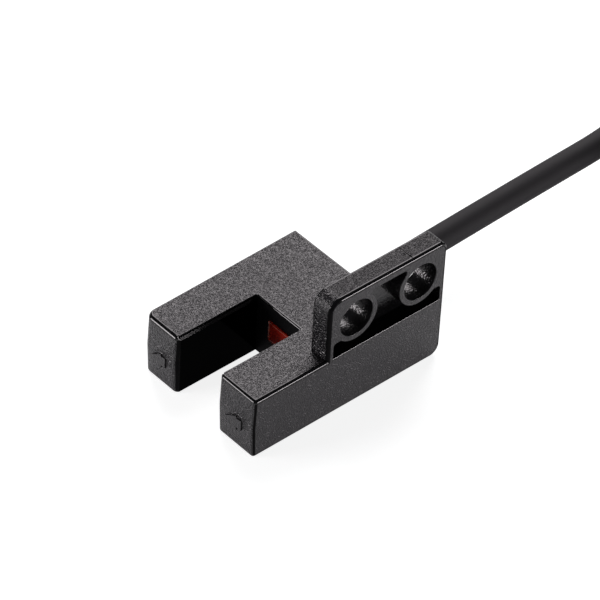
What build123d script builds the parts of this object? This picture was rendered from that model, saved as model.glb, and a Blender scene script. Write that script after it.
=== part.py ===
"""Fork sensor: a U-shaped light barrier with a two-hole mounting lug and a free cable.

The frame: X runs from the fork's tips to the cable, Y from the side with the lug to the far
prong, Z up. The origin is the middle of the sensor's footprint, on the surface it stands on.
All sizes are in millimetres.
"""

import os
from math import radians, tan

from build123d import *

os.makedirs("parts", exist_ok=True)

# Fork
body_height = 5.9
fork_length = 16.0
near_prong_width = 4.3
slot_width = 5.0
far_prong_width = 4.2
slot_depth = 8.4
far_side_draft = 0.25
wall = 0.6
top_wall = 0.6
edge_round = 0.2
upright_round = 0.4
tip_draft = 2.4
slot_bevel = 0.25

# Mounting lug, flush with the near side
lug_thickness = 2.0
lug_front_margin = 2.85
lug_rear_margin = 2.75
lug_top_margin = 2.8
lug_front_round = 1.2
lug_rear_round = 0.8
lug_foot_round = 1.0
first_hole = 10.35
hole_diameter = 3.4
hole_pitch = 6.7
hole_rise = 3.1
boss_wall = 0.5
pocket_depth = 1.4
pocket_end_margin = 0.05
pocket_top_overlap = 0.2
pocket_strip_overlap = 0.6
pocket_round = 0.3

# Windows of the light beam, in the slot's two sides
window_thickness = 0.5
window_lip = 0.5
beam_offset = 2.6
slit_thickness = 0.15
slit_plate_length = 3.4
slit_plate_height = 2.6
emitter_slit_width = 0.9
receiver_slit_width = 0.4
slit_height = 1.6

# Indicator window, in the slot's back wall
lamp_window_width = 2.9
lamp_window_height = 2.15
lamp_window_offset = -0.35
lamp_window_sill = 2.2
lamp_window_proud = 0.1
lamp_flange = 0.3
lamp_flange_depth = 0.4

# Bottom cover
cover_thickness = 0.5
cover_recess = 0.1
cover_gap = 0.05
post_diameter = 1.0
front_post_inset = 5.0
rear_post_inset = 1.1
post_side_inset = 1.0

# Circuit board
board_level = 1.0
board_thickness = 0.6
board_gap = 0.3
board_rear_gap = 0.6

# Light source and light receiver
package_length = 2.8
package_height = 2.7
package_rear_gap = 0.5
dome_radius = 0.9
dome_reach = 0.35
dome_gap = 0.05
lead_diameter = 0.4
lead_hole = 0.5
emitter_lead_pitch = 1.6
receiver_lead_pitch = 0.9
lead_solder_diameter = 0.85
lead_solder_height = 0.2

# Small parts on the board, placed from the middle of the slot's back wall
lamp_size = (0.8, 1.6, 0.7)
lamp_gap = 0.3
chip_size = (3.0, 3.0, 0.9)
chip_place = (2.7, -3.8)
transistor_size = (1.3, 2.9, 1.0)
transistor_place = (2.6, 2.3)
resistor_size = (0.5, 1.0, 0.35)
resistor_start = 1.9
resistor_wall_gap = 1.2
resistor_pitch = 0.9
capacitor_size = (0.8, 1.6, 0.8)
capacitor_place = (5.4, -2.6)
capacitor_pitch = 2.0
part_edge = 0.08

# Cable
cable_diameter = 2.25
cable_ceiling_gap = 0.315
cable_hole_gap = 0.05
cable_inside = 2.4
cable_straight = 2.9
cable_bend_radius = 12.0
clamp_wall = 0.25
clamp_length = 0.8
clamp_place = 0.25
seal_thickness = 0.6
seal_width = 4.0
core_diameter = 0.7
core_spread = 0.45
pad_pitch = 1.0
core_drop = 1.1
core_start_share = 0.4
core_turn_share = 0.45
pad_solder = 0.95
pad_solder_height = 0.35

# Hank of the cable's put-away length
hank_front = 47.0
hank_side = -5.0
hank_run = 33.75
hank_lift = 0.4
hank_layers = 4
hank_inner_turn = 3.0
hank_outer_turn = 4.0
hank_bevel = 0.6
tie_width = 4.0
tie_thickness = 0.4
tail_length = 7.0
core_length = 32.0
core_fan = 1.15
core_tie_gap = 0.1
core_end_gap = 0.05
tip_diameter = 0.45
tip_length = 5.0

hole_level = body_height + hole_rise
lug_start = first_hole - lug_front_margin
lug_height = hole_level + lug_top_margin
body_length = first_hole + hole_pitch + lug_rear_margin
body_width = near_prong_width + slot_width + far_prong_width
tip_x = -body_length / 2
rear_x = body_length / 2
near_y = -body_width / 2
far_y = body_width / 2
slot_near_y = near_y + near_prong_width
slot_far_y = slot_near_y + slot_width
slot_mid_y = (slot_near_y + slot_far_y) / 2
slot_back_x = tip_x + slot_depth
fork_rear_x = tip_x + fork_length
lug_front_x = tip_x + lug_start
beam_x = tip_x + beam_offset
beam_z = body_height / 2
tip_lean = body_height / 2 * tan(radians(tip_draft))
ceiling_z = body_height - top_wall
near_plane = Plane.XZ.offset(-near_y)
hole_spots = [(tip_x + first_hole + i * hole_pitch, hole_level) for i in range(2)]
cable_y = slot_mid_y
cable_level = ceiling_z - cable_ceiling_gap - cable_diameter / 2
board_top = board_level + board_thickness


def save(part, name):
    """Labels a finished piece and writes it as a STEP file of the same name."""
    part.label = name
    export_step(part, f"parts/{name}.step")


def near(value, target):
    return abs(value - target) < 0.001


def wire(route, diameter):
    """A round wire along straight runs with mitred corners."""
    with BuildPart() as made:
        with BuildLine():
            path = Polyline(*route)
        with BuildSketch(Plane(origin=path @ 0, z_dir=path % 0)):
            Circle(diameter / 2)
        sweep(transition=Transition.RIGHT)
    return made.part


# Windows: smooth plates that line the slot's sides and hook under the case's top wall
def window(side_y, outward):
    """One plate; its profile is drawn across the prong, from the slot's side outwards."""
    profile = [
        (0, 0), (0, body_height - slot_bevel), (slot_bevel, body_height),
        (slot_bevel, ceiling_z), (window_thickness, ceiling_z), (window_thickness, 0),
    ]
    start = tip_x + window_lip
    with BuildPart() as plate:
        with BuildSketch(Plane.YZ.offset(start)) as section:
            with BuildLine():
                Polyline(*[(side_y + outward * d, z) for d, z in profile], close=True)
            make_face()
            foot = section.vertices().sort_by_distance(Vector(start, side_y, 0))[0]
            fillet(foot, edge_round)
        extrude(amount=slot_back_x - start)
    return plate.part


emitter_window = window(slot_near_y, -1)
receiver_window = window(slot_far_y, 1)


# Indicator window: a red light guide with a flange behind the slot's back wall
lamp_window_y = slot_mid_y + lamp_window_offset
lamp_window_z = lamp_window_sill + lamp_window_height / 2
with BuildPart() as indicator_window:
    with BuildSketch(Plane.YZ.offset(slot_back_x - lamp_window_proud)):
        with Locations((lamp_window_y, lamp_window_z)):
            Rectangle(lamp_window_width, lamp_window_height)
    extrude(amount=lamp_window_proud + wall)
    front = indicator_window.faces().sort_by(Axis.X)[0]
    chamfer(front.edges(), lamp_window_proud * 0.8)
    with BuildSketch(Plane.YZ.offset(slot_back_x + wall)):
        with Locations((lamp_window_y, lamp_window_z)):
            Rectangle(lamp_window_width + 2 * lamp_flange, lamp_window_height + 2 * lamp_flange)
    extrude(amount=lamp_flange_depth)


# Case: the fork's shell, open below, in one piece with the lug
def inside_outline(gap=0.0):
    """Corners of the case's hollow, seen from above, drawn in by a gap on every side."""
    left = tip_x + wall + gap
    right = fork_rear_x - wall - gap
    low, high = near_y + wall + gap, far_y - wall - gap
    arm_low = slot_near_y - window_thickness - gap
    arm_high = slot_far_y + window_thickness + gap
    back = slot_back_x + wall + gap
    return [(left, low), (right, low), (right, high), (left, high - far_side_draft),
            (left, arm_high), (back, arm_high), (back, arm_low), (left, arm_low)]


with BuildPart() as case:
    with BuildSketch():
        with BuildLine():
            Polyline(
                (tip_x, near_y), (fork_rear_x, near_y), (fork_rear_x, far_y),
                (tip_x, far_y - far_side_draft), (tip_x, slot_far_y), (slot_back_x, slot_far_y),
                (slot_back_x, slot_near_y), (tip_x, slot_near_y), close=True)
        make_face()
    extrude(amount=body_height)
    # The tips lean back above and below the mould's parting line at mid-height
    with BuildSketch(near_plane):
        for level in (0, body_height):
            with BuildLine():
                Polyline((tip_x, body_height / 2), (tip_x + tip_lean, level),
                         (tip_x - tip_lean, level), close=True)
            make_face()
    extrude(amount=-body_width, mode=Mode.SUBTRACT)
    with BuildSketch(near_plane) as lug:
        with Locations(((lug_front_x + rear_x) / 2, lug_height / 2)):
            Rectangle(rear_x - lug_front_x, lug_height)
        fillet(lug.vertices().group_by(Axis.Y)[-1].sort_by(Axis.X)[0], lug_front_round)
        fillet(lug.vertices().group_by(Axis.Y)[-1].sort_by(Axis.X)[-1], lug_rear_round)
        fillet(lug.vertices().group_by(Axis.Y)[0].sort_by(Axis.X)[-1], lug_foot_round)
    extrude(amount=-lug_thickness)

    # All outer edges are rounded, except the slot's two upper sides, which get a bevel
    def in_slot_side(e):
        return e.center().X < slot_back_x - 0.1 and slot_near_y - 0.01 < e.center().Y < slot_far_y + 0.01

    def at_tip(e):
        return e.center().X < tip_x + tip_lean + upright_round

    uprights = case.edges().filter_by(
        lambda e: abs((e % 0.5).Z) > 0.9 and e.center().Y > near_y + 0.1
        and (at_tip(e) or near(e.center().Y, far_y)))
    fillet(uprights, upright_round)
    near_edges = case.faces().filter_by(Axis.Y).sort_by(Axis.Y)[0].edges()
    rims = case.edges().filter_by(
        lambda e: near(e.center().Z, body_height) and e.center().Y > near_y + 0.1
        and not near(e.center().X, lug_front_x) and not near(e.center().Y, near_y + lug_thickness)
        and not (in_slot_side(e) and not at_tip(e)))
    feet = case.edges().filter_by(lambda e: near(e.center().Z, 0) and e.center().Y > near_y + 0.1)
    fillet([*near_edges, *rims, *feet], edge_round)
    for side_y, outward in ((slot_near_y, -1), (slot_far_y, 1)):
        with BuildSketch(Plane.YZ.offset(tip_x)):
            with BuildLine():
                Polyline(
                    (side_y - outward * wall, body_height - slot_bevel - wall),
                    (side_y + outward * (slot_bevel + wall), body_height + wall),
                    (side_y - outward * wall, body_height + wall), close=True)
            make_face()
        extrude(amount=slot_depth, mode=Mode.SUBTRACT)

    # The recess in the lug's near face, around and between the two hole bosses
    with BuildSketch(near_plane) as pocket:
        boss_radius = hole_diameter / 2 + boss_wall
        middle = (hole_spots[0][0] + hole_spots[1][0]) / 2
        low = body_height
        high = hole_level + boss_radius - pocket_top_overlap
        strip_top = hole_level - boss_radius + pocket_strip_overlap
        with Locations((middle, (low + strip_top) / 2)):
            Rectangle(hole_pitch + 2 * (boss_radius + pocket_end_margin), strip_top - low)
        with Locations((middle, (low + high) / 2)):
            Rectangle(hole_pitch, high - low)
        with Locations(*hole_spots):
            Circle(boss_radius, mode=Mode.SUBTRACT)
        fillet(pocket.vertices().filter_by(lambda v: v.Y > low + pocket_round), pocket_round)
    extrude(amount=-pocket_depth, mode=Mode.SUBTRACT)
    with BuildSketch(near_plane):
        with Locations(*hole_spots):
            Circle(hole_diameter / 2)
    extrude(amount=-lug_thickness, mode=Mode.SUBTRACT)

    # The hollow, the windows' seats and the cable's hole
    with BuildSketch():
        with BuildLine():
            Polyline(*inside_outline(), close=True)
        make_face()
    extrude(amount=ceiling_z, mode=Mode.SUBTRACT)
    add(emitter_window, mode=Mode.SUBTRACT)
    add(receiver_window, mode=Mode.SUBTRACT)
    with BuildSketch(Plane.YZ.offset(slot_back_x)):
        with Locations((lamp_window_y, lamp_window_z)):
            Rectangle(lamp_window_width, lamp_window_height)
    extrude(amount=wall, mode=Mode.SUBTRACT)
    with BuildSketch(Plane.YZ.offset(fork_rear_x - wall)):
        with Locations((cable_y, cable_level)):
            Circle(cable_diameter / 2 + cable_hole_gap)
    extrude(amount=wall, mode=Mode.SUBTRACT)

save(case.part, "case")
save(emitter_window, "emitter_window")
save(receiver_window, "receiver_window")
save(indicator_window.part, "indicator_window")

# Bottom cover: a plate inside the case's walls, with four posts that carry the board
post_spots = [(x, y) for x in (tip_x + wall + front_post_inset, fork_rear_x - wall - rear_post_inset)
              for y in (near_y + wall + post_side_inset, far_y - wall - post_side_inset)]
with BuildPart() as bottom_cover:
    with BuildSketch(Plane.XY.offset(cover_recess)):
        with BuildLine():
            Polyline(*inside_outline(cover_gap), close=True)
        make_face()
    extrude(amount=cover_thickness)
    with BuildSketch(Plane.XY.offset(cover_recess + cover_thickness)):
        with Locations(*post_spots):
            Circle(post_diameter / 2)
    extrude(amount=board_level - cover_recess - cover_thickness)
save(bottom_cover.part, "bottom_cover")

# Light source and light receiver, with their slit plates, leads and solder
package_front_gap = slit_thickness + dome_gap + dome_reach
package_depth = (far_prong_width - far_side_draft - wall - window_thickness
                 - package_front_gap - package_rear_gap)
emitter_plate_y = slot_near_y - window_thickness
receiver_plate_y = slot_far_y + window_thickness
emitter_leads_x = [beam_x + (i - 0.5) * emitter_lead_pitch for i in range(2)]
receiver_leads_x = [beam_x + (i - 1) * receiver_lead_pitch for i in range(3)]


def package(front_y, outward):
    """A moulded block with a lens dome, which looks across the slot."""
    face_y = front_y + outward * package_front_gap
    with BuildPart() as made:
        with BuildSketch(Plane.XY.offset(board_top)):
            with Locations((beam_x, face_y + outward * package_depth / 2)):
                Rectangle(package_length, package_depth)
        extrude(amount=package_height)
        chamfer(made.edges().filter_by(Axis.Z), 2 * part_edge)
        with Locations((beam_x, face_y + outward * (dome_radius - dome_reach), beam_z)):
            Sphere(dome_radius)
    return made.part


def slit_plate(front_y, outward, slit_width):
    """A thin opaque plate behind the window, with an upright slit for the beam."""
    with BuildPart() as made:
        with BuildSketch(Plane.XZ.offset(-front_y)):
            with Locations((beam_x, beam_z)):
                Rectangle(slit_plate_length, slit_plate_height)
                Rectangle(slit_width, slit_height, mode=Mode.SUBTRACT)
        extrude(amount=-outward * slit_thickness)
    return made.part


def leads(leads_x, package_y):
    """The package's leads, trimmed flush below the board, where their solder covers them."""
    with BuildPart() as made:
        with BuildSketch(Plane.XY.offset(board_level)):
            with Locations(*[(x, package_y) for x in leads_x]):
                Circle(lead_diameter / 2)
        extrude(amount=board_thickness)
    return made.part


emitter_y = emitter_plate_y - package_front_gap - package_depth / 2
receiver_y = receiver_plate_y + package_front_gap + package_depth / 2
lead_spots = [*[(x, emitter_y) for x in emitter_leads_x], *[(x, receiver_y) for x in receiver_leads_x]]
save(package(emitter_plate_y, -1), "emitter")
save(package(receiver_plate_y, 1), "receiver")
save(slit_plate(emitter_plate_y, -1, emitter_slit_width), "emitter_slit_plate")
save(slit_plate(receiver_plate_y, 1, receiver_slit_width), "receiver_slit_plate")
save(leads(emitter_leads_x, emitter_y), "emitter_leads")
save(leads(receiver_leads_x, receiver_y), "receiver_leads")

# Circuit board: a U that reaches from the bridge into both prongs
with BuildPart() as circuit_board:
    outer = inside_outline(board_gap)
    rear_edge = fork_rear_x - wall - board_rear_gap
    outline = [(min(x, rear_edge), y) for x, y in outer]
    with BuildSketch(Plane.XY.offset(board_level)):
        with BuildLine():
            Polyline(*outline, close=True)
        make_face()
        with Locations(*lead_spots):
            Circle(lead_hole / 2, mode=Mode.SUBTRACT)
    extrude(amount=board_thickness)
save(circuit_board.part, "circuit_board")

with BuildPart() as lead_solder:
    with BuildSketch(Plane.XY.offset(board_level - lead_solder_height)):
        with Locations(*lead_spots):
            Circle(lead_solder_diameter / 2)
    extrude(amount=lead_solder_height)
save(lead_solder.part, "lead_solder")


# Small parts soldered to the top of the board
def board_parts(size, spots):
    """Bevelled blocks of one size on the board's top, centred on the given spots."""
    length, width, height = size
    with BuildPart() as made:
        with BuildSketch(Plane.XY.offset(board_top)):
            with Locations(*spots):
                Rectangle(length, width)
        extrude(amount=height)
        chamfer(made.edges().group_by(Axis.Z)[-1], part_edge)
    return made.part


def on_board(place, pitch_y=0.0, count=1):
    """Spots in a row, measured from the middle of the slot's back wall."""
    return [(slot_back_x + place[0], slot_mid_y + place[1] + i * pitch_y) for i in range(count)]


lamp_x = slot_back_x + wall + lamp_flange_depth + lamp_gap + lamp_size[0] / 2
save(board_parts(lamp_size, [(lamp_x, lamp_window_y)]), "indicator_lamp")
save(board_parts(chip_size, on_board(chip_place)), "amplifier_chip")
save(board_parts(transistor_size, on_board(transistor_place)), "output_transistor")
resistor_spots = [(slot_back_x + resistor_start + i * resistor_pitch, far_y - wall - resistor_wall_gap)
                  for i in range(4)]
save(board_parts(resistor_size, resistor_spots), "resistors")
save(board_parts(capacitor_size, on_board(capacitor_place, pitch_y=-capacitor_pitch, count=2)), "capacitors")

# Cable entry: a crimped band and a resin seal hold the jacket behind the rear wall
jacket_end_x = fork_rear_x - cable_inside
clamp_x = jacket_end_x + clamp_place
seal_x = fork_rear_x - wall - seal_thickness


def ring_on_cable(start_x, length, outline):
    """A piece around the cable: its section is an outline less the jacket."""
    with BuildPart() as made:
        with BuildSketch(Plane.YZ.offset(start_x)):
            with Locations((cable_y, cable_level)):
                outline()
                Circle(cable_diameter / 2, mode=Mode.SUBTRACT)
        extrude(amount=length)
    return made.part


save(ring_on_cable(clamp_x, clamp_length, lambda: Circle(cable_diameter / 2 + clamp_wall)), "cable_clamp")
with BuildPart() as entry_seal:
    floor_z = cover_recess + cover_thickness
    with BuildSketch(Plane.YZ.offset(seal_x)):
        with Locations((cable_y, (floor_z + ceiling_z) / 2)):
            Rectangle(seal_width, ceiling_z - floor_z)
        with Locations((cable_y, cable_level)):
            Circle(cable_diameter / 2, mode=Mode.SUBTRACT)
    extrude(amount=seal_thickness)
save(entry_seal.part, "entry_seal")

# Cores inside: from the jacket's end down to their pads on the board
core_names = ("brown", "blue", "black", "white")
core_sides = ((-1, 1), (-1, -1), (1, -1), (1, 1))
pad_x = jacket_end_x - core_drop
pad_spots = []
for name, (side, up) in zip(core_names, core_sides):
    pad_y = cable_y + side * pad_pitch * (1.5 if up > 0 else 0.5)
    pad_spots.append((pad_x, pad_y))
    start = Vector(jacket_end_x, cable_y + side * core_spread, cable_level + up * core_spread)
    corner = Vector(pad_x, pad_y, start.Z)
    inside_jacket = start + (start - corner) * core_start_share
    turn_start = corner + (start - corner) * core_turn_share
    turn_end = corner - Vector(0, 0, (start - corner).length * core_turn_share)
    foot = (pad_x, pad_y, board_top + pad_solder_height)
    with BuildPart() as inner_core:
        add(wire([inside_jacket, turn_start, turn_end, foot], core_diameter))
        split(bisect_by=Plane.YZ.offset(jacket_end_x), keep=Keep.BOTTOM)
    save(inner_core.part, f"inner_core_{name}")
with BuildPart() as wire_solder:
    with BuildSketch(Plane.XY.offset(board_top)):
        with Locations(*pad_spots):
            Circle(pad_solder / 2)
    extrude(amount=pad_solder_height)
save(wire_solder.part, "wire_solder")

# Hank: the cable's put-away length, a closed ring of the shape that its turns fill
hank_bottom = hank_lift
hank_height = hank_layers * cable_diameter
hank_middle = (hank_front + hank_run / 2, hank_side)
half_outside = (hank_outer_turn + 0.5) * cable_diameter
half_inside = (hank_inner_turn - 0.5) * cable_diameter
with BuildPart() as cable_hank:
    with BuildSketch(Plane.XY.offset(hank_bottom)):
        with Locations(hank_middle):
            SlotCenterToCenter(hank_run, 2 * half_outside)
            SlotCenterToCenter(hank_run, 2 * half_inside, mode=Mode.SUBTRACT)
    extrude(amount=hank_height)
    rims = cable_hank.edges().filter_by(lambda e: not near(e.center().Z, hank_bottom + hank_height / 2))
    chamfer(rims, hank_bevel)
save(cable_hank.part, "cable_hank")

# Cable: out of the rear wall, past the lug, and down to the surface where its hank lies
cable_bend_x = fork_rear_x + cable_straight
cable_route = [
    (jacket_end_x, cable_y, cable_level), (cable_bend_x, cable_y, cable_level),
    (36.0, 0.62, 4.2), (40.6, 1.95, 4.05),
]
with BuildPart() as cable:
    with BuildLine():
        path = FilletPolyline(*cable_route, radius=cable_bend_radius)
    with BuildSketch(Plane(origin=path @ 0, z_dir=path % 0)):
        Circle(cable_diameter / 2)
    sweep()
    add(cable_hank.part, mode=Mode.SUBTRACT)
save(cable.part, "cable")

with BuildPart() as hank_tie:
    with BuildSketch(Plane.YZ.offset(hank_middle[0] - tie_width / 2)):
        with Locations((hank_side, hank_bottom + hank_height / 2)):
            RectangleRounded(2 * (half_outside + tie_thickness), hank_height + 2 * tie_thickness,
                             hank_bevel + tie_thickness)
            RectangleRounded(2 * half_outside, hank_height, hank_bevel, mode=Mode.SUBTRACT)
    extrude(amount=tie_width)
save(hank_tie.part, "hank_tie")

# The far end: a short stretch of jacket on the hank, and four cores with tinned tips
tail_y = hank_side + (hank_outer_turn + hank_inner_turn) / 2 * cable_diameter
tail_z = hank_bottom + hank_height + cable_diameter / 2
rest_z = hank_bottom + hank_height + core_diameter / 2
tail_end_x = hank_front + tail_length
save(wire([(hank_front, tail_y, tail_z), (tail_end_x, tail_y, tail_z)], cable_diameter), "cable_tail")
for i, (name, (side, up)) in enumerate(zip(core_names, core_sides)):
    lane_y = tail_y + (i - 1.5) * core_fan
    reach = core_length - tip_length
    route = [
        (tail_end_x, tail_y + side * core_spread, tail_z + up * core_spread),
        (tail_end_x + reach / 2, lane_y, rest_z + tie_thickness + core_tie_gap),
        (tail_end_x + reach, lane_y, rest_z + core_end_gap),
    ]
    save(wire(route, core_diameter), f"core_{name}")
    end = Vector(*route[-1])
    ahead = (end - Vector(*route[-2])).normalized()
    save(wire([end, end + ahead * tip_length], tip_diameter), f"core_tip_{name}")
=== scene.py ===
"""Fork sensor: its finishes, its cable and the studio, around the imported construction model.

The frame is the model's own. X runs from the fork's tips to the cable, Y from the side with the lug
to the far prong, and Z is up. The scene is in metres. The sizes below are in millimetres, and each
is multiplied by mm where it goes into the scene.
"""

from math import atan2, cos, hypot, pi, radians, sin, tan

import bmesh
import bpy
from mathutils import Matrix, Vector


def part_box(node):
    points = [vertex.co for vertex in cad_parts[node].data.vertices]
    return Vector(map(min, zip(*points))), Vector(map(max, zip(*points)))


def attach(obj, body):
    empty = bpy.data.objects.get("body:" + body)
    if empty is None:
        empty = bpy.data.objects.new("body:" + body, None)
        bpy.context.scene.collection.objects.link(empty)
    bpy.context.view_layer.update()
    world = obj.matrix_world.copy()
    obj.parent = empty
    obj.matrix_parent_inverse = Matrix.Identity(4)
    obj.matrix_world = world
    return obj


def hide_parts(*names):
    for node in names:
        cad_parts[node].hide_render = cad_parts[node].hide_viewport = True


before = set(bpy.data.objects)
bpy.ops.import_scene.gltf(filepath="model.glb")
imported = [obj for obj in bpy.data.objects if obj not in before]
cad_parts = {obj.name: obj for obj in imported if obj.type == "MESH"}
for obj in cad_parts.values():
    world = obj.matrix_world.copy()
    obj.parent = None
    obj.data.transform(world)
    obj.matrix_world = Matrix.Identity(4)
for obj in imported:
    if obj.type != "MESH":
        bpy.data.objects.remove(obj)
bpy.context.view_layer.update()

# Case
# One moulding of black glass-filled polyester: the fork with its two prongs, and the mounting lug.
# The mould's flat faces are spark-eroded, which leaves a grain that breaks the light into specks.
# Its rounded edges are polished, so they draw thin dark and bright lines.
mm = 0.001
tip_x, near_y, floor_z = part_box("case")[0] / mm
rear_x, far_y, lug_top_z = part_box("case")[1] / mm
fork_top_z = 5.9
fork_rear_x = tip_x + 16.0
slot_back_x = tip_x + 8.4
slot_near_y = near_y + 4.3
slot_far_y = slot_near_y + 5.0
far_tip_y = 6.51
tip_draft = radians(2.4)
lug_front_x = tip_x + 7.5
lug_back_y = near_y + 2.0
lug_front_round = 1.2
pocket_floor_y = near_y + 1.4
hole_axes = [(0.45, 9.0), (7.15, 9.0)]
hole_radius = 1.7


def srgb(code):
    """An sRGB hex value as the linear colour that a shader takes."""
    shares = [int(code[i:i + 2], 16) / 255 for i in (1, 3, 5)]
    return (*[s / 12.92 if s <= 0.04045 else ((s + 0.055) / 1.055) ** 2.4 for s in shares], 1.0)


def add_node(tree, kind, inputs=None, **settings):
    """Adds a shader node with its settings. Each input, by its name or number, is a plain value or
    another node's output socket."""
    node = tree.nodes.new(kind)
    for name, value in settings.items():
        setattr(node, name, value)
    for name, value in (inputs or {}).items():
        if isinstance(value, bpy.types.NodeSocket):
            tree.links.new(value, node.inputs[name])
        else:
            node.inputs[name].default_value = value
    return node


def finish(name, colours, roughness, grain, depth, drift=2.0, **sockets):
    """A moulded, cast or coated surface. Two colours drift into each other, the roughness varies with
    them between two values, and a bumped grain has a real width and depth in millimetres."""
    material = bpy.data.materials.new(name)
    material.use_nodes = True
    tree = material.node_tree
    shader = tree.nodes["Principled BSDF"]
    place = add_node(tree, "ShaderNodeTexCoord").outputs["Object"]
    cloud = add_node(tree, "ShaderNodeTexNoise", {"Vector": place, "Scale": 1 / (drift * mm), "Detail": 4.0})
    # The mix takes its two colours at inputs 6 and 7, and gives the mixed one at output 2
    mixed = add_node(tree, "ShaderNodeMix",
                     {0: cloud.outputs["Fac"], 6: srgb(colours[0]), 7: srgb(colours[1])}, data_type="RGBA")
    rough = add_node(tree, "ShaderNodeMapRange", {"Value": cloud.outputs["Fac"], "To Min": roughness[0],
                                                  "To Max": roughness[1]})
    fine = add_node(tree, "ShaderNodeTexNoise", {"Vector": place, "Scale": 1 / (grain * mm), "Detail": 0.0})
    bump = add_node(tree, "ShaderNodeBump", {"Height": fine.outputs["Fac"], "Distance": depth * mm})
    tree.links.new(mixed.outputs[2], shader.inputs["Base Color"])
    tree.links.new(rough.outputs["Result"], shader.inputs["Roughness"])
    tree.links.new(bump.outputs["Normal"], shader.inputs["Normal"])
    for socket, value in sockets.items():
        shader.inputs[socket.replace("_", " ")].default_value = value
    return material


def merged_copy(node, name, materials):
    """Replaces a construction node by a copy whose loose triangles are merged into whole faces."""
    bpy.ops.object.select_all(action="DESELECT")
    piece = bpy.data.objects.new(name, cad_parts[node].data.copy())
    bpy.context.scene.collection.objects.link(piece)
    bpy.context.view_layer.objects.active = piece
    piece.select_set(True)
    bpy.ops.object.mode_set(mode="EDIT")
    bpy.ops.mesh.select_all(action="SELECT")
    bpy.ops.mesh.remove_doubles(threshold=0.001 * mm)
    bpy.ops.mesh.customdata_custom_splitnormals_clear()
    bpy.ops.mesh.dissolve_limited(angle_limit=radians(1))
    bpy.ops.object.mode_set(mode="OBJECT")
    bpy.ops.object.shade_smooth_by_angle(angle=radians(28))
    piece.data.materials.clear()
    for material in materials:
        piece.data.materials.append(material)
    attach(piece, "root")
    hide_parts(node)
    return piece


def soften(piece, width, segments, share_at, trim):
    """Rounds a piece's sharp edges, each by its own share of the width, and keeps flat faces flat.
    The trim is the number of the material that the new faces get."""
    mesh = bmesh.new()
    mesh.from_mesh(piece.data)
    shares = mesh.edges.layers.float.new("bevel_weight_edge")
    for edge in mesh.edges:
        if len(edge.link_faces) == 2 and edge.calc_face_angle() > radians(28):
            edge[shares] = share_at((edge.verts[0].co + edge.verts[1].co) / (2 * mm))
            edge.smooth = edge[shares] > 0
    mesh.to_mesh(piece.data)
    mesh.free()
    bevel = piece.modifiers.new("edge_round", "BEVEL")
    bevel.width = width * mm
    bevel.segments = segments
    bevel.limit_method = "WEIGHT"
    bevel.material = trim
    bevel.use_clamp_overlap = False
    piece.modifiers.new("flat_faces", "WEIGHTED_NORMAL").keep_sharp = True


# The grain is drawn about twice as wide as the real one, so that it shows at the picture's scale.
# It gives the fork's faces a grey, speckled sheen. The lug's edge faces get a darker, less shiny copy of the
# same plastic, which is painted shade.
grain_size = 0.11
grained_polyester = finish("spark_eroded_black_polyester", ("#141316", "#1a181a"), (0.30, 0.36),
                           grain_size, 0.07, IOR=1.52)
lug_painted_shade_polyester = finish("fine_grained_black_polyester_painted_shade", ("#0d0c0e", "#121013"), (0.30, 0.38),
                       grain_size, 0.07, IOR=1.38)
# The tips and the lug's front have deeper grain, which leaves them darker with a few bright specks
coarse_polyester = finish("coarse_grained_black_polyester", ("#131215", "#19171a"), (0.20, 0.26),
                          1.2 * grain_size, 0.15, IOR=1.5)
# The holes and the lug's pocket are drawn off steel pins, which leaves blurred streaks of light
drawn_polyester = finish("satin_black_polyester", ("#0a0a0b", "#0f0f10"), (0.15, 0.23),
                         0.12, 0.022, IOR=1.55)
# Rounded edges mirror the lamps sharply. The slot's back, the ledge under the pocket, the slot's lips, the
# arrows' sides and the upright edges get a darker copy that hardly reflects, which is painted shade.
polished_polyester = finish("polished_black_polyester", ("#070708", "#0a0a0b"), (0.10, 0.14),
                            0.5, 0.002, IOR=1.5)
dull_painted_shade_polyester = finish("dull_black_polyester_painted_shade", ("#060607", "#09090a"), (0.5, 0.6),
                        0.3, 0.004, IOR=1.15)
case_finishes = [grained_polyester, polished_polyester, dull_painted_shade_polyester, drawn_polyester, lug_painted_shade_polyester,
                 coarse_polyester]
case = merged_copy("case", "case_moulding", case_finishes)

# The real outer rims are rounder than the construction model's. A point of a rim lies a little below
# each face beside it, and these depths grow by the same share.
rim_reach = 0.205
near_rim_share = 1.5
near_tip_share = 1.5
far_tip_share = 2.0
upright_round = 0.4
# Each upright edge of the tips: its side's Y, the direction inwards from there, and its wider round
tip_uprights = [(slot_near_y, -1, 0.55), (slot_far_y, 1, 0.45), (far_tip_y, -1, 0.8)]
# Each rounded corner of the lug: its centre along X and along Z, and its radius
lug_rounds = [(-1.2, 10.6, lug_front_round), (9.1, 11.0, 0.8), (8.9, 1.0, 1.0)]
# The centre of the far rear corner's upright round
rear_round_x = 5.7
rear_round_y = 6.344


def tip_face_x(z):
    """Where the tips' face is at a height. It leans back above and below its middle."""
    return tip_x + abs(z - fork_top_z / 2) * tan(tip_draft)


def depth_below(value, faces):
    """How deep a coordinate lies below the first of some faces, or None where it is below none. Each
    face has its own coordinate and its inward direction, 1 or -1."""
    for face, inwards in faces:
        if -0.01 < inwards * (value - face) < rim_reach:
            return value - face
    return None


def near_rim_depths(x, z):
    """A point's depths below the outer faces beside the near side's rim, along X and along Z."""
    for centre_x, centre_z, radius in lug_rounds:
        off_x = x - centre_x
        off_z = z - centre_z
        if off_x * centre_x > 0 and off_z * (centre_z - fork_top_z) > 0:
            depth = radius - hypot(off_x, off_z)
            if depth >= rim_reach:
                return None, None
            return -off_x * depth / radius, -off_z * depth / radius
    faces_x = [(tip_face_x(z), 1), (rear_x, -1)]
    if z > fork_top_z - rim_reach:
        faces_x.append((lug_front_x, 1))
    faces_z = [(floor_z, 1), (lug_top_z, -1)]
    if x < lug_front_x + rim_reach:
        faces_z.append((fork_top_z, -1))
    return depth_below(x, faces_x), depth_below(z, faces_z)


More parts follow.
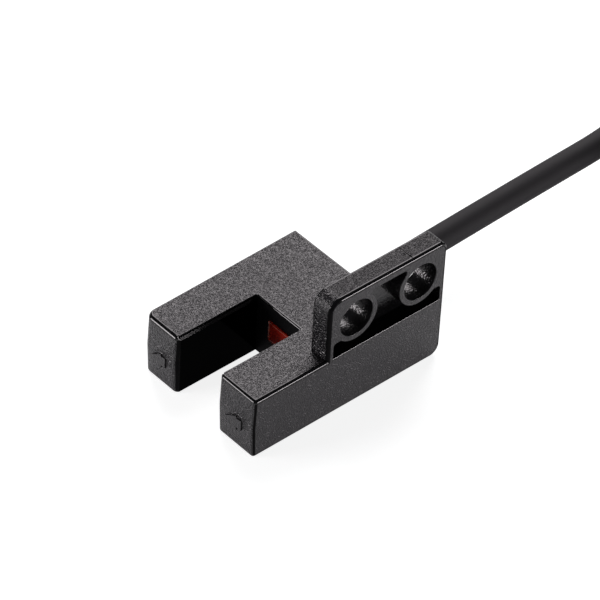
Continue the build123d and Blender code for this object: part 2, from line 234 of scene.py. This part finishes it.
def tip_rim_place(x, y, z):
    """Where a point near a prong's tip goes, as the rims and the upright rounds get wider."""
    share = 1.0
    if min(z, fork_top_z - z) < rim_reach:
        share = near_tip_share if y < 0 else far_tip_share
    level = floor_z if z < fork_top_z / 2 else fork_top_z
    face_x = tip_face_x(z)
    depth = x - face_x
    side_y, inwards, wide_round = min(tip_uprights, key=lambda upright: abs(upright[0] - y))
    from_side = inwards * (y - side_y)
    if from_side < upright_round + 0.01:
        spread = hypot(upright_round - depth, upright_round - from_side)
        if upright_round - spread < rim_reach:
            turn = atan2(upright_round - from_side, upright_round - depth) / (pi / 2)
            share += (1 - share) * turn
            stretch = (wide_round - share * (upright_round - spread)) / max(spread, 0.001)
            depth = wide_round - (upright_round - depth) * stretch
            y = side_y + inwards * (wide_round - (upright_round - from_side) * stretch)
            return face_x + depth, y, level + share * (z - level)
    elif depth < rim_reach:
        return face_x + share * depth, y, level + share * (z - level)
    return x, y, z


for vertex in case.data.vertices:
    x, y, z = vertex.co / mm
    if y < near_y + rim_reach:
        depth_x, depth_z = near_rim_depths(x, z)
        if depth_x is not None or depth_z is not None:
            vertex.co += Vector((depth_x or 0.0, y - near_y, depth_z or 0.0)) * (near_rim_share - 1) * mm
    elif x < tip_face_x(z) + upright_round + 0.01:
        vertex.co = Vector(tip_rim_place(x, y, z)) * mm
    elif x > rear_round_x and y > rear_round_y:
        # The real far rear corner is square
        off_x = x - rear_round_x
        off_y = y - rear_round_y
        square = hypot(off_x, off_y) / max(off_x, off_y)
        vertex.co.x = (rear_round_x + off_x * square) * mm
        vertex.co.y = (rear_round_y + off_y * square) * mm


def steepen_slot_edge(piece, width, top_z):
    """Makes the bevel along the slot's upper sides steeper than the construction model's, which is as
    wide as it is high."""
    model_width = 0.25
    model_foot_z = 5.65
    foot_z = 5.52
    for vertex in piece.data.vertices:
        x, y, z = vertex.co / mm
        for side_y, outwards in ((slot_near_y, -1), (slot_far_y, 1)):
            off = outwards * (y - side_y)
            on_bevel = -0.01 < off < model_width + 0.01 and abs(z - model_foot_z - off) < 0.01
            if on_bevel and x < slot_back_x + 0.1:
                up = off / model_width
                vertex.co.y = (side_y + outwards * width * up) * mm
                vertex.co.z = (foot_z + (top_z - foot_z) * up) * mm


steepen_slot_edge(case, width=0.16, top_z=fork_top_z)

# The holes narrow a little towards the lug's back, as the mould's pins do
hole_narrowing = 0.89
for vertex in case.data.vertices:
    x, y, z = vertex.co / mm
    for axis_x, axis_z in hole_axes:
        if abs(y - lug_back_y) < 0.01 and abs(hypot(x - axis_x, z - axis_z) - hole_radius) < 0.02:
            vertex.co.x = (axis_x + (x - axis_x) * hole_narrowing) * mm
            vertex.co.z = (axis_z + (z - axis_z) * hole_narrowing) * mm


def shape_case(tool, operation):
    """Joins a tool shape to the case, or cuts it out, and clears the tool away."""
    change = case.modifiers.new("change", "BOOLEAN")
    change.operation = operation
    change.object = tool
    change.solver = "EXACT"
    bpy.ops.object.select_all(action="DESELECT")
    bpy.context.view_layer.objects.active = case
    case.select_set(True)
    bpy.ops.object.modifier_apply(modifier="change")
    bpy.data.objects.remove(tool)


# A fine line across the lug's top, where two parts of the mould meet
seam_place = Vector((6.3, near_y + 1.0, lug_top_z)) * mm
seam_size = Vector((0.07, 3.0, 0.12)) * mm
bpy.ops.object.select_all(action="DESELECT")
bpy.ops.mesh.primitive_cube_add(size=1.0, location=seam_place, scale=seam_size)
shape_case(bpy.context.object, "DIFFERENCE")

# A raised arrow on each tip, on the beam's axis. Its outline is given in shares of the tip's face,
# from the face's far side and from its top.
arrow_height = 0.08
arrow_depth = arrow_height + 0.3
arrow_outline = [(0.20, 0.576), (0.52, 0.45), (0.525, 0.49), (0.67, 0.476), (0.665, 0.646), (0.53, 0.64),
                 (0.535, 0.69)]
for face_far_y, face_near_y in ((6.1, slot_far_y), (slot_near_y - 0.3, near_y)):
    bpy.ops.object.select_all(action="DESELECT")
    bpy.ops.mesh.primitive_circle_add(vertices=len(arrow_outline), fill_type="NGON")
    arrow = bpy.context.object
    for corner, (across, down) in zip(arrow.data.vertices, arrow_outline):
        corner_y = face_far_y + across * (face_near_y - face_far_y)
        corner.co = Vector((tip_x - arrow_height, corner_y, (1 - down) * fork_top_z)) * mm
    bpy.ops.object.mode_set(mode="EDIT")
    bpy.ops.mesh.select_all(action="SELECT")
    bpy.ops.mesh.extrude_region_move(TRANSFORM_OT_translate={"value": (arrow_depth * mm, 0, 0)})
    bpy.ops.mesh.select_all(action="SELECT")
    bpy.ops.mesh.normals_make_consistent(inside=False)
    bpy.ops.object.mode_set(mode="OBJECT")
    shape_case(arrow, "UNION")


def case_finish(normal, x, y, z):
    """The finish of a face of the case, by the way it looks and where its middle is."""
    square_on = max(abs(part) for part in normal) > 0.998
    round_the_lug = abs(normal.y) < 0.01 and x > lug_front_x and y < lug_back_y
    lug_corner = x < lug_front_x + lug_front_round and z > 8
    upright = abs(normal.z) < (0.5 if lug_corner else 0.12) and not square_on and not round_the_lug
    tip_round = upright and x < tip_x + 1 and normal.x < (-0.6 if normal.y > 0 else -0.75)
    arrow_face = x < tip_x - 0.01 and normal.x < -0.99
    arrow_side = x < tip_x and abs(normal.x) < 0.5
    on_ledge = y < pocket_floor_y and abs(z - fork_top_z) < 0.02 and x > lug_front_x
    slot_back = abs(x - slot_back_x) < 0.05 and abs(normal.x) > 0.9
    slot_lip = abs(normal.y) > 0.99 and slot_near_y - 0.05 < y < slot_far_y + 0.05 and x < tip_x / 2
    in_pocket = abs(y - pocket_floor_y) < 0.02
    off_axis = min(hypot(x - axis_x, z - axis_z) for axis_x, axis_z in hole_axes)
    if in_pocket or (y < lug_back_y and off_axis < hole_radius + 0.01):
        return drawn_polyester
    if tip_round:
        return coarse_polyester
    # Painted shade: these faces take the darker copy that hardly reflects
    if on_ledge or upright or arrow_side or slot_back or slot_lip:
        return dull_painted_shade_polyester
    # Painted shade: the lug's edge faces take the darker copy of the plastic
    if round_the_lug:
        return grained_polyester if lug_corner and not square_on else lug_painted_shade_polyester
    if normal.x < -0.99 and not arrow_face:
        return coarse_polyester
    return grained_polyester if square_on else polished_polyester


for face in case.data.polygons:
    face.use_smooth = True
    face.material_index = case_finishes.index(case_finish(face.normal, *(face.center / mm)))


def case_edge_share(at):
    """How much of the full rounding a sharp edge of the case gets, by where its middle lies."""
    on_near_side = at.y < near_y + 0.01
    if at.z > fork_top_z - 0.02 and at.x < slot_back_x + 0.1 and abs(at.y - slot_far_y) < 0.3:
        return 0.8
    if on_near_side and abs(at.z - fork_top_z) < 0.01 and at.x > lug_front_x + 0.2:
        return 1.0
    if on_near_side and at.z > fork_top_z + 0.05:
        return 0.4
    return 0.4 if at.x > fork_rear_x - 0.05 and at.y > far_y - 0.15 else 0.0


soften(case, width=0.13, segments=3, share_at=case_edge_share,
       trim=case_finishes.index(polished_polyester))

# Bottom cover
# A flat plate of the same black plastic, pressed into the case from below. Its four posts carry the
# circuit board. It comes matt from the mould.
cover_plastic = finish("moulded_black_polyester", ("#18181b", "#1f1e21"), (0.45, 0.55), 0.15, 0.01)


def dress(node, material):
    """Gives a node of the construction model its finish."""
    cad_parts[node].data.materials.clear()
    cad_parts[node].data.materials.append(material)


dress("bottom_cover", cover_plastic)

# Beam windows
# Two plates of black polycarbonate, which infrared light passes. They line the slot's sides and are
# polished, so each looks like a dark mirror, and its upper bevel shines as the case's edges do.
window_plastic = finish("polished_black_polycarbonate", ("#010102", "#03080a"), (0.06, 0.12), 1.0, 0.001,
                        drift=3.0, IOR=1.04)
for node in ("emitter_window", "receiver_window"):
    window = merged_copy(node, f"black_{node}", (window_plastic, polished_polyester))
    steepen_slot_edge(window, width=0.13, top_z=5.74)
    for face in window.data.polygons:
        on_upper_bevel = face.center.z > 5.4 * mm and 0.1 < face.normal.z < 0.9
        face.material_index = 1 if on_upper_bevel else 0

# Indicator window
# A light guide of clear red polycarbonate in the slot's back wall. Its face is smooth and deep red. Its
# rounded rim is painted a light pink, which is a painted highlight.
red_plastic = finish("clear_red_polycarbonate", ("#b8261c", "#d03624"), (0.14, 0.22), 0.25, 0.012, IOR=1.06)
# Painted highlight: the rim's light pink stands for the light it catches
red_rim_painted_highlight = finish("painted_highlight_red_polycarbonate", ("#e0705c", "#e88472"), (0.10, 0.16), 0.5, 0.002)
light_guide = merged_copy("indicator_window", "red_indicator_window", (red_plastic, red_rim_painted_highlight))
soften(light_guide, width=0.16, segments=2, share_at=lambda at: 1.0 if at.x < slot_back_x else 0.0, trim=1)

# Slit plates
# Thin steel sheets behind the windows, stamped with the slits that narrow the beam. They are
# blackened, so they stay dark with a faint metal sheen.
slit_steel = finish("blackened_rolled_steel", ("#2b2a2c", "#3a383a"), (0.35, 0.5), 0.2, 0.003, Metallic=0.8)
for node in ("emitter_slit_plate", "receiver_slit_plate"):
    dress(node, slit_steel)

# Light source and light receiver
# Epoxy blocks cast round their chips: water clear with a violet tint for the source, and nearly
# black for the receiver, which keeps daylight out. Their legs are of silvery tinned wire.
dress("emitter", finish("tinted_clear_epoxy", ("#8f93a6", "#a5a8b8"), (0.08, 0.15), 0.6, 0.002))
dress("receiver", finish("dark_epoxy", ("#0d0c10", "#16141a"), (0.12, 0.2), 0.6, 0.002))
tinned_metal = finish("tin_plated_wire", ("#b9b8b2", "#cfcdc6"), (0.28, 0.42), 0.1, 0.002, Metallic=1.0)
for node in ("emitter_leads", "receiver_leads"):
    dress(node, tinned_metal)

# Circuit board and the parts soldered to it
# A green glass-epoxy board in the shape of a U, with a milky lamp, a matt black chip and transistor,
# glazed resistors, tan capacitors, and smooth silvery solder.
solder_mask = finish("green_solder_mask", ("#0f4a2c", "#165a36"), (0.28, 0.4), 0.25, 0.004)
lamp_epoxy = finish("milky_lamp_epoxy", ("#d8d2c0", "#e6e0cf"), (0.15, 0.25), 0.3, 0.002)
chip_epoxy = finish("matt_moulding_epoxy", ("#1a1a1c", "#232325"), (0.55, 0.7), 0.06, 0.004)
resistor_glaze = finish("black_glazed_ceramic", ("#101114", "#1d1e22"), (0.25, 0.4), 0.2, 0.002)
capacitor_ceramic = finish("fired_tan_ceramic", ("#8a6a45", "#9c7a52"), (0.4, 0.55), 0.08, 0.004)
solder_metal = finish("reflowed_solder", ("#a9aaab", "#c3c4c4"), (0.18, 0.34), 0.3, 0.006, Metallic=1.0)
dress("circuit_board", solder_mask)
dress("indicator_lamp", lamp_epoxy)
dress("amplifier_chip", chip_epoxy)
dress("output_transistor", chip_epoxy)
dress("resistors", resistor_glaze)
dress("capacitors", capacitor_ceramic)
dress("lead_solder", solder_metal)
dress("wire_solder", solder_metal)

# Cable entry
# A crimped band of rolled brass on the jacket, yellow with a soft shine, and a plug of cast black
# resin, glossy where it set in the open, that seals the case and holds the cable.
clamp_brass = finish("rolled_brass", ("#a5843f", "#bd9a50"), (0.25, 0.38), 0.15, 0.003, Metallic=1.0)
dress("cable_clamp", clamp_brass)
dress("entry_seal", finish("cast_black_resin", ("#0c0c0d", "#141415"), (0.2, 0.35), 0.7, 0.006))

# Cable
# Round, four cores, in a soft black vinyl jacket of 2.25 mm with a dull satin face from the extruder.
# One metre: a straight stretch past the lug, then the put-away length wound as a flat hank whose
# turns lie side by side and on each other, and a short tail on top.
cable_diameter = 2.25
jacket = finish("extruded_black_vinyl", ("#1b1a1c", "#201f22"), (0.70, 0.76), 0.6, 0.003, IOR=1.45)
cable_route = [
    (3.7, 0.05, 3.86), (9.0, 0.05, 3.86), (17.5, 0.27, 3.99), (28.0, 0.49, 4.13),
    (36.0, 0.62, 4.2), (40.6, 1.95, 4.05),
]
hank_x = 47.0
hank_y = -5.0
hank_run = 33.75
hank_floor = 0.4
# Each turn's place: how many cable diameters it lies from the hank's middle line, and its layer
hank_slots = [(4, 2), (4, 1), (3, 1), (3, 2), (3, 3), (4, 3), (4, 4), (3, 4), (3.5, 5)]
fold_steps = [radians(angle) for angle in range(15, 180, 30)]
tail_start_x = 49.0
tail_end_x = 54.0


def layer_height(layer):
    """The height of the cable's middle in a layer of the hank."""
    return hank_floor + (layer - 0.5) * cable_diameter


def turn_of_hank(here, after):
    """One turn: along the far side, round the rear fold, back along the near side, and round the
    front fold, where the turn moves over to the next turn's place."""
    reach = here[0] * cable_diameter
    level = layer_height(here[1])
    corner = reach * tan(fold_steps[0])
    run = [hank_x + corner, hank_x + hank_run / 3, hank_x + 2 * hank_run / 3, hank_x + hank_run - corner]
    turn = [(x, hank_y + reach, level) for x in run]
    for angle in fold_steps:
        outside = reach / cos(fold_steps[0])
        turn.append((hank_x + hank_run + outside * sin(angle), hank_y + outside * cos(angle), level))
    turn += [(x, hank_y - reach, level) for x in reversed(run)]
    for angle in fold_steps:
        share = (1 - cos(angle)) / 2
        outside = (reach + share * (after[0] - here[0]) * cable_diameter) / cos(fold_steps[0])
        climb = share * (after[1] - here[1]) * cable_diameter
        turn.append((hank_x - outside * sin(angle), hank_y - outside * cos(angle), level + climb))
    return turn


cable_points = list(cable_route)
for here, after in zip(hank_slots, hank_slots[1:]):
    cable_points += turn_of_hank(here, after)
tail_y = hank_y + hank_slots[-1][0] * cable_diameter
tail_z = layer_height(hank_slots[-1][1])
cable_points += [(tail_start_x, tail_y, tail_z), (tail_end_x, tail_y, tail_z)]


def round_cord(name, points, diameter, material):
    """A round cord on one smooth curve through the stretches between its points."""
    shape = bpy.data.curves.new(name, "CURVE")
    shape.dimensions = "3D"
    shape.resolution_u = 6
    shape.bevel_depth = diameter / 2 * mm
    shape.bevel_resolution = 6
    shape.use_fill_caps = True
    spline = shape.splines.new("NURBS")
    spline.points.add(len(points) - 1)
    for point, place in zip(spline.points, points):
        point.co = (*[value * mm for value in place], 1.0)
    spline.order_u = 3
    spline.use_endpoint_u = True
    spline.use_smooth = True
    shape.materials.append(material)
    cord = bpy.data.objects.new(name, shape)
    bpy.context.scene.collection.objects.link(cord)
    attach(cord, "root")
    return cord


cable = round_cord("sensor_cable", cable_points, cable_diameter, jacket)
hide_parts("cable", "cable_hank", "cable_tail")

# Cores
# Four stranded wires in smooth, slightly glossy vinyl of brown, blue, black and white, fanned out on
# top of the hank. Their last 5 mm are stripped, twisted and dipped in tin.
core_diameter = 0.7
core_spread = 0.45
core_reach = 27.0
lane_width = 1.15
end_fan = 0.1
rest_z = tail_z - cable_diameter / 2 + core_diameter / 2
core_colours = {"brown": ("#5a2f1b", "#6d3b23"), "blue": ("#1d4f9e", "#2a62b5"),
                "black": ("#151516", "#1e1e20"), "white": ("#d9d8d2", "#e8e7e2")}
core_sides = ((-1, 1), (-1, -1), (1, -1), (1, 1))
cores = []
for i, ((colour, shades), (side, up)) in enumerate(zip(core_colours.items(), core_sides)):
    start_y = tail_y + side * core_spread
    lane_y = tail_y + (i - 1.5) * lane_width
    end_y = lane_y + (i - 1.5) * end_fan
    points = [
        (tail_end_x, start_y, tail_z + up * core_spread),
        (tail_end_x + 0.2 * core_reach, (start_y + lane_y) / 2, tail_z + up * core_spread / 2),
        (tail_end_x + 0.45 * core_reach, lane_y, rest_z + 0.5),
        (tail_end_x + 0.75 * core_reach, end_y, rest_z + 0.2),
        (tail_end_x + core_reach, end_y, rest_z + 0.05),
    ]
    vinyl = finish(f"{colour}_vinyl", shades, (0.35, 0.45), 0.3, 0.003)
    core = round_cord(f"{colour}_core", points, core_diameter, vinyl)
    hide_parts(f"core_{colour}")
    dress(f"core_tip_{colour}", tinned_metal)
    dress(f"inner_core_{colour}", vinyl)
    cores += [core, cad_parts[f"core_tip_{colour}"]]

# Hank tie
# A flat strap of moulded black nylon, pulled tight round the hank so that it holds the turns
# together. Its face is matt, with a fine grain.
dress("hank_tie", finish("black_nylon_strap", ("#17171a", "#212124"), (0.4, 0.5), 0.12, 0.01))

# Floor
# A matt white sheet. The camera and reflections see it brighter than its paint, so that it is white
# in the picture while the sensor's shadow stays on it.
bpy.ops.object.select_all(action="DESELECT")
bpy.ops.mesh.primitive_plane_add(size=8.0, location=(0, 0, -0.02 * mm))
floor = bpy.context.object
floor.name = "floor"
white_paint = bpy.data.materials.new("matt_white_paint")
white_paint.use_nodes = True
tree = white_paint.node_tree
tree.nodes.clear()
paint = add_node(tree, "ShaderNodeBsdfDiffuse", {"Color": srgb("#c8cdcb")})
path = add_node(tree, "ShaderNodeLightPath")
lift_to_camera = 0.85
lift_in_mirrors = 0.42
camera_lift = add_node(tree, "ShaderNodeMath", {0: path.outputs["Is Camera Ray"], 1: lift_to_camera},
                       operation="MULTIPLY")
mirrored = add_node(tree, "ShaderNodeMath",
                    {0: path.outputs["Is Glossy Ray"], 1: path.outputs["Is Transmission Ray"]},
                    operation="MAXIMUM")
lift = add_node(tree, "ShaderNodeMath",
                {0: mirrored.outputs[0], 1: lift_in_mirrors, 2: camera_lift.outputs[0]},
                operation="MULTIPLY_ADD")
tint = add_node(tree, "ShaderNodeMix",
                {0: path.outputs["Is Camera Ray"], 6: (1.0, 0.96, 1.0, 1.0), 7: (1.0, 1.0, 1.0, 1.0)},
                data_type="RGBA")
glow = add_node(tree, "ShaderNodeEmission", {"Color": tint.outputs[2], "Strength": lift.outputs[0]})
both = add_node(tree, "ShaderNodeAddShader", {0: paint.outputs[0], 1: glow.outputs[0]})
add_node(tree, "ShaderNodeOutputMaterial", {"Surface": both.outputs[0]})
floor.data.materials.append(white_paint)

# Studio light
# A large soft box behind and above the sensor gives the sheen on its top faces. Two low ones, left
# and right, draw the thin bright lines along its edges. The rest of the room is dim.
lamp_colour = (1.0, 0.945, 0.97)


def soft_box(name, place, width, height, radiance):
    """A flat lamp of a given brightness that faces the sensor. Its place and size are in metres."""
    lamp = bpy.data.lights.new(name, "AREA")
    lamp.shape = "RECTANGLE"
    lamp.size = width
    lamp.size_y = height
    lamp.energy = radiance * pi * width * height
    lamp.color = lamp_colour
    box = bpy.data.objects.new(name, lamp)
    box.location = place
    box.rotation_mode = "QUATERNION"
    box.rotation_quaternion = Vector(place).to_track_quat("Z", "Y")
    bpy.context.scene.collection.objects.link(box)


soft_box("rear_soft_box", (0.55, 0.58, 0.70), width=0.75, height=0.75, radiance=5.2)
soft_box("left_soft_box", (-0.65, 0.43, 0.155), width=0.40, height=0.26, radiance=11.0)
soft_box("right_strip", (0.41, -0.68, 0.05), width=0.35, height=0.10, radiance=24.0)
world = bpy.data.worlds.new("dim_studio")
world.use_nodes = True
world.node_tree.nodes["Background"].inputs["Color"].default_value = srgb("#808084")
world.node_tree.nodes["Background"].inputs["Strength"].default_value = 0.3
bpy.context.scene.world = world

# Camera
# A long lens at the photograph's angle: elevation 41.6 degrees, 43.3 degrees round from the tips'
# side, leaning by 3.1 degrees. Image sizes are in pixels of a 600 by 600 picture.
image_width = 600
focal_pixels = 4256.41
azimuth = radians(-43.27)
elevation = radians(41.6)
lean = radians(3.13)
camera_place = Vector((-171.15, -182.54, 228.56)) * mm
back = Vector((sin(azimuth) * cos(elevation), -cos(azimuth) * cos(elevation), sin(elevation)))
level_right = Vector((cos(azimuth), sin(azimuth), 0))
level_up = back.cross(level_right)
right = cos(lean) * level_right + sin(lean) * level_up
up = cos(lean) * level_up - sin(lean) * level_right
lens = bpy.data.cameras.new("long_lens")
lens.sensor_width = 36.0
lens.lens = focal_pixels * lens.sensor_width / image_width
lens.clip_start = 0.02
lens.clip_end = 20.0
camera = bpy.data.objects.new("camera", lens)
camera.matrix_world = Matrix.Translation(camera_place) @ Matrix((right, up, back)).transposed().to_4x4()
bpy.context.scene.collection.objects.link(camera)
bpy.context.scene.camera = camera
bpy.context.scene.view_settings.view_transform = "Standard"
